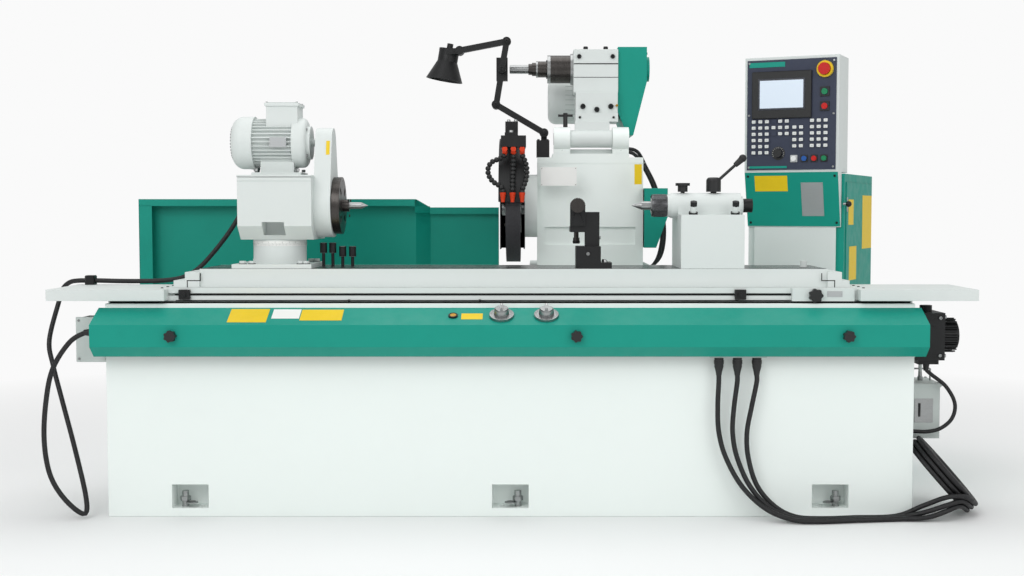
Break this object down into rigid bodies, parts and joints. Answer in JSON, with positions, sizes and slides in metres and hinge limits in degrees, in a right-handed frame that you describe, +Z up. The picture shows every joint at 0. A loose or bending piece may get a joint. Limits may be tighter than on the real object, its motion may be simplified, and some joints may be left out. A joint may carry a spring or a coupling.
{
  "type": "cylindrical grinder",
  "caption": "Cylindrical grinding machine with workhead, tailstock, swivel table, steady rest, swing-down internal grinding attachment and control cabinet.",
  "frame": {"origin": "on the floor, under the swivel table's pivot, which is on the work axis", "axes": "+X along the work axis to the right, +Y away from the operator, +Z up"},
  "size_m": [3.1122, 1.522, 1.6048],
  "materials": {
    "casting_paint": "satin",
    "green_paint": "satin",
    "grey_paint": "satin",
    "panel_paint": "matte",
    "black_metal": "satin",
    "black_plastic": "gloss",
    "red_plastic": "gloss",
    "green_plastic": "gloss",
    "steel": "brushed",
    "dark_steel": "ground",
    "abrasive": "matte",
    "cable_rubber": "matte"
  },
  "bodies": {
    "bed": {"bed_casting": "casting_paint", "levelling_screws": "steel", "apron_cover": "green_paint", "apron_fittings": "black_plastic", "service_fittings": "grey_paint", "splash_guard": "green_paint", "control_cabinet": "green_paint", "table_motor": "black_metal", "control_case": "casting_paint", "control_panel": "panel_paint", "power_cables": "cable_rubber", "power_cable_coils": "cable_rubber", "table_cable": "cable_rubber"},
    "table_screw": {"table_screw": "steel"},
    "traverse_knob": {"traverse_knob": "steel"},
    "dwell_knob": {"dwell_knob": "steel"},
    "table": {"lower_table": "casting_paint", "table_wings": "casting_paint", "trip_dogs": "black_metal"},
    "swivel_adjuster": {"swivel_adjuster": "black_plastic"},
    "swivel_table": {"swivel_table": "casting_paint", "table_clamps": "casting_paint", "workhead_base": "casting_paint", "tailstock_body": "casting_paint", "steady_bracket": "black_metal"},
    "workhead": {"workhead_casting": "casting_paint", "workhead_motor": "casting_paint", "belt_guard": "casting_paint", "work_centre": "steel"},
    "work_spindle": {"work_spindle": "dark_steel"},
    "quill": {"quill": "steel"},
    "retract_lever": {"retract_lever": "black_plastic"},
    "quill_lock": {"quill_lock": "black_plastic"},
    "spring_knob": {"spring_knob": "black_plastic"},
    "steady_front_jaw": {"steady_front_jaw": "dark_steel"},
    "steady_lower_jaw": {"steady_lower_jaw": "dark_steel"},
    "wheelhead": {"cross_slide": "casting_paint", "wheelhead_housing": "casting_paint", "wheel_guard": "casting_paint", "drive_guard": "green_paint", "hinge_base": "casting_paint", "coolant_manifold": "black_metal", "coolant_hoses": "black_plastic"},
    "wheel": {"grinding_wheel": "abrasive", "wheel_spindle": "steel"},
    "swing": {"swing_holder": "casting_paint", "spindle_cartridge": "dark_steel", "swing_motor": "casting_paint", "swing_cover": "green_paint"},
    "internal_spindle": {"internal_spindle": "steel"},
    "swing_lock": {"swing_lock": "black_plastic"},
    "lamp_foot": {"lamp_foot": "black_metal"},
    "lamp_lower_arm": {"lamp_lower_arm": "black_metal"},
    "lamp_middle_arm": {"lamp_middle_arm": "black_metal"},
    "lamp_upper_arm": {"lamp_upper_arm": "black_metal"},
    "lamp_shade": {"lamp_shade": "black_metal"},
    "stop_button": {"stop_button": "red_plastic"},
    "start_button": {"start_button": "green_plastic"},
    "off_button": {"off_button": "red_plastic"},
    "rotary_switch": {"rotary_switch": "black_plastic"}
  },
  "joints": [
    {"name": "table_slide", "type": "slide", "parent": "bed", "child": "table", "axis": [1, 0, 0], "range_m": [-0.48, 0.45], "deforming": ["table_cable"]},
    {"name": "table_screw_turn", "type": "hinge", "parent": "bed", "child": "table_screw", "pos_m": [0, -0.06, 0.577], "axis": [1, 0, 0], "continuous": true},
    {"name": "traverse_knob_turn", "type": "hinge", "parent": "bed", "child": "traverse_knob", "pos_m": [-0.026, -0.25, 0.6535], "axis": [0, -0.4254, 0.905], "range_deg": [-135, 135]},
    {"name": "dwell_knob_turn", "type": "hinge", "parent": "bed", "child": "dwell_knob", "pos_m": [0.116, -0.25, 0.6535], "axis": [0, -0.4254, 0.905], "range_deg": [-135, 135]},
    {"name": "table_swivel", "type": "hinge", "parent": "table", "child": "swivel_table", "pos_m": [0, 0, 0.77], "axis": [0, 0, 1], "range_deg": [-7, 7]},
    {"name": "swivel_adjuster_turn", "type": "hinge", "parent": "table", "child": "swivel_adjuster", "pos_m": [0.981, -0.19, 0.716], "axis": [0, -1, 0], "continuous": true},
    {"name": "workhead_swivel", "type": "hinge", "parent": "swivel_table", "child": "workhead", "pos_m": [-0.773, 0, 0.913], "axis": [0, 0, 1], "range_deg": [-30, 90]},
    {"name": "work_spindle_turn", "type": "hinge", "parent": "workhead", "child": "work_spindle", "pos_m": [-0.6, 0, 1.005], "axis": [1, 0, 0], "continuous": true},
    {"name": "quill_slide", "type": "slide", "parent": "swivel_table", "child": "quill", "axis": [1, 0, 0], "range_m": [0, 0.03], "stiffness_N_per_m": 2000},
    {"name": "retract_lever_turn", "type": "hinge", "parent": "swivel_table", "child": "retract_lever", "pos_m": [0.676, 0, 1.051], "axis": [0, 0, 1], "range_deg": [0, 60]},
    {"name": "quill_lock_turn", "type": "hinge", "parent": "swivel_table", "child": "quill_lock", "pos_m": [0.573, 0, 1.051], "axis": [0, 0, 1], "range_deg": [-90, 90]},
    {"name": "spring_knob_turn", "type": "hinge", "parent": "swivel_table", "child": "spring_knob", "pos_m": [0.79, 0, 1.005], "axis": [1, 0, 0], "range_deg": [-180, 180]},
    {"name": "steady_front_jaw_slide", "type": "slide", "parent": "swivel_table", "child": "steady_front_jaw", "axis": [0, 1, 0], "range_m": [-0.02, 0.012]},
    {"name": "steady_lower_jaw_slide", "type": "slide", "parent": "swivel_table", "child": "steady_lower_jaw", "axis": [0, 0, 1], "range_m": [-0.02, 0.012]},
    {"name": "cross_slide_feed", "type": "slide", "parent": "bed", "child": "wheelhead", "axis": [0, -1, 0], "range_m": [-0.13, 0.115]},
    {"name": "wheel_turn", "type": "hinge", "parent": "wheelhead", "child": "wheel", "pos_m": [0.003, 0.335, 1.005], "axis": [1, 0, 0], "continuous": true},
    {"name": "swing_turn", "type": "hinge", "parent": "wheelhead", "child": "swing", "pos_m": [0.28, 0.32, 1.243], "axis": [1, 0, 0], "range_deg": [0, 140]},
    {"name": "internal_spindle_turn", "type": "hinge", "parent": "swing", "child": "internal_spindle", "pos_m": [0.1, 0.425, 1.5], "axis": [1, 0, 0], "continuous": true},
    {"name": "swing_lock_slide", "type": "slide", "parent": "wheelhead", "child": "swing_lock", "axis": [0, 0, 1], "range_m": [0, 0.015], "stiffness_N_per_m": 800},
    {"name": "lamp_turn", "type": "hinge", "parent": "wheelhead", "child": "lamp_foot", "pos_m": [0.108, 0.322, 1.175], "axis": [0, 0, 1], "range_deg": [-15, 110]},
    {"name": "lamp_lower_joint", "type": "hinge", "parent": "lamp_foot", "child": "lamp_lower_arm", "pos_m": [0.112, 0.322, 1.265], "axis": [0, 1, 0], "range_deg": [-8, 8]},
    {"name": "lamp_middle_joint", "type": "hinge", "parent": "lamp_lower_arm", "child": "lamp_middle_arm", "pos_m": [-0.059, 0.344, 1.365], "axis": [0, 1, 0], "range_deg": [-15, 15]},
    {"name": "lamp_upper_joint", "type": "hinge", "parent": "lamp_middle_arm", "child": "lamp_upper_arm", "pos_m": [-0.038, 0.322, 1.492], "axis": [0, 1, 0], "range_deg": [-20, 20]},
    {"name": "lamp_head_joint", "type": "hinge", "parent": "lamp_upper_arm", "child": "lamp_shade", "pos_m": [-0.188, 0.344, 1.556], "axis": [0, 1, 0], "range_deg": [-30, 45]},
    {"name": "stop_button_press", "type": "slide", "parent": "bed", "child": "stop_button", "axis": [0.4226, 0.9063, 0], "range_m": [0, 0.006], "stiffness_N_per_m": 400},
    {"name": "start_button_press", "type": "slide", "parent": "bed", "child": "start_button", "axis": [0.4226, 0.9063, 0], "range_m": [0, 0.003], "stiffness_N_per_m": 400},
    {"name": "off_button_press", "type": "slide", "parent": "bed", "child": "off_button", "axis": [0.4226, 0.9063, 0], "range_m": [0, 0.003], "stiffness_N_per_m": 400},
    {"name": "rotary_switch_turn", "type": "hinge", "parent": "bed", "child": "rotary_switch", "pos_m": [0.96226, 0.40884, 1.196], "axis": [0.4226, 0.9063, 0], "range_deg": [-120, 120]}
  ],
  "couplings": [
    {"joint": "table_screw_turn", "follows": "table_slide", "rad_per_m": 628.32},
    {"joint": "swivel_adjuster_turn", "follows": "table_swivel", "ratio": 100},
    {"joint": "retract_lever_turn", "follows": "quill_slide", "rad_per_m": 34.9}
  ]
}
